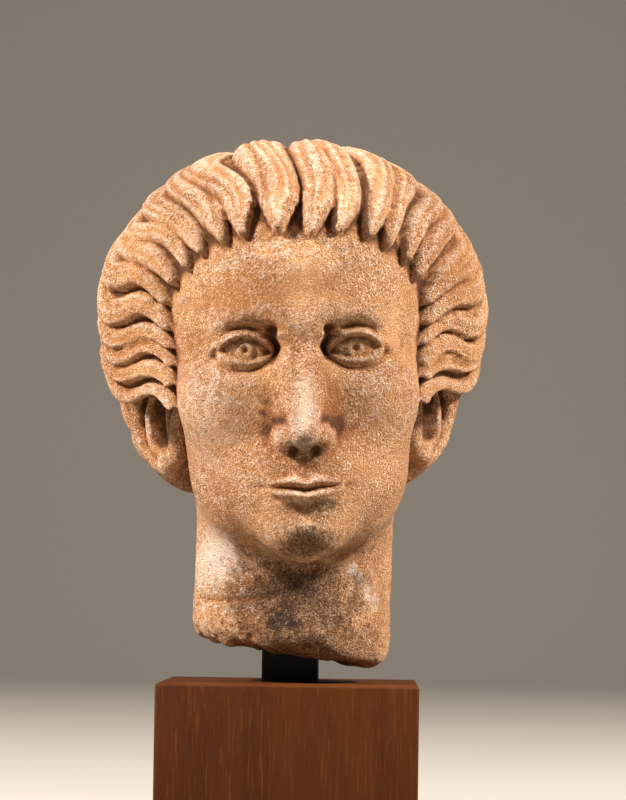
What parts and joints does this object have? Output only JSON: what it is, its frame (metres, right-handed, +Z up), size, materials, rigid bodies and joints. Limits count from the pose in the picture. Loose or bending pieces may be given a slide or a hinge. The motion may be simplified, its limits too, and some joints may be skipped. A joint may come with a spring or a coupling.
{
  "type": "carved stone head on a post",
  "caption": "Life-size carved limestone head with thick comma-shaped locks, broken at the neck, held by a square steel post on a hardwood block.",
  "frame": {"origin": "centre of the wood block's underside, on the surface that it stands on", "axes": "+Z up through the post to the crown, -Y the way the face looks, +X to the viewer's right"},
  "size_m": [0.2264, 0.2404, 0.4122],
  "materials": {
    "limestone": "weathered, granular and pitted, with pale lime on the ridges and brown earth in the hollows",
    "black_steel": "smooth satin black paint",
    "hardwood": "brown hardwood with fine upright grain, satin oil"
  },
  "bodies": {
    "root": {"stone_head": "limestone", "steel_post": "black_steel", "wood_block": "hardwood"}
  },
  "joints": []
}
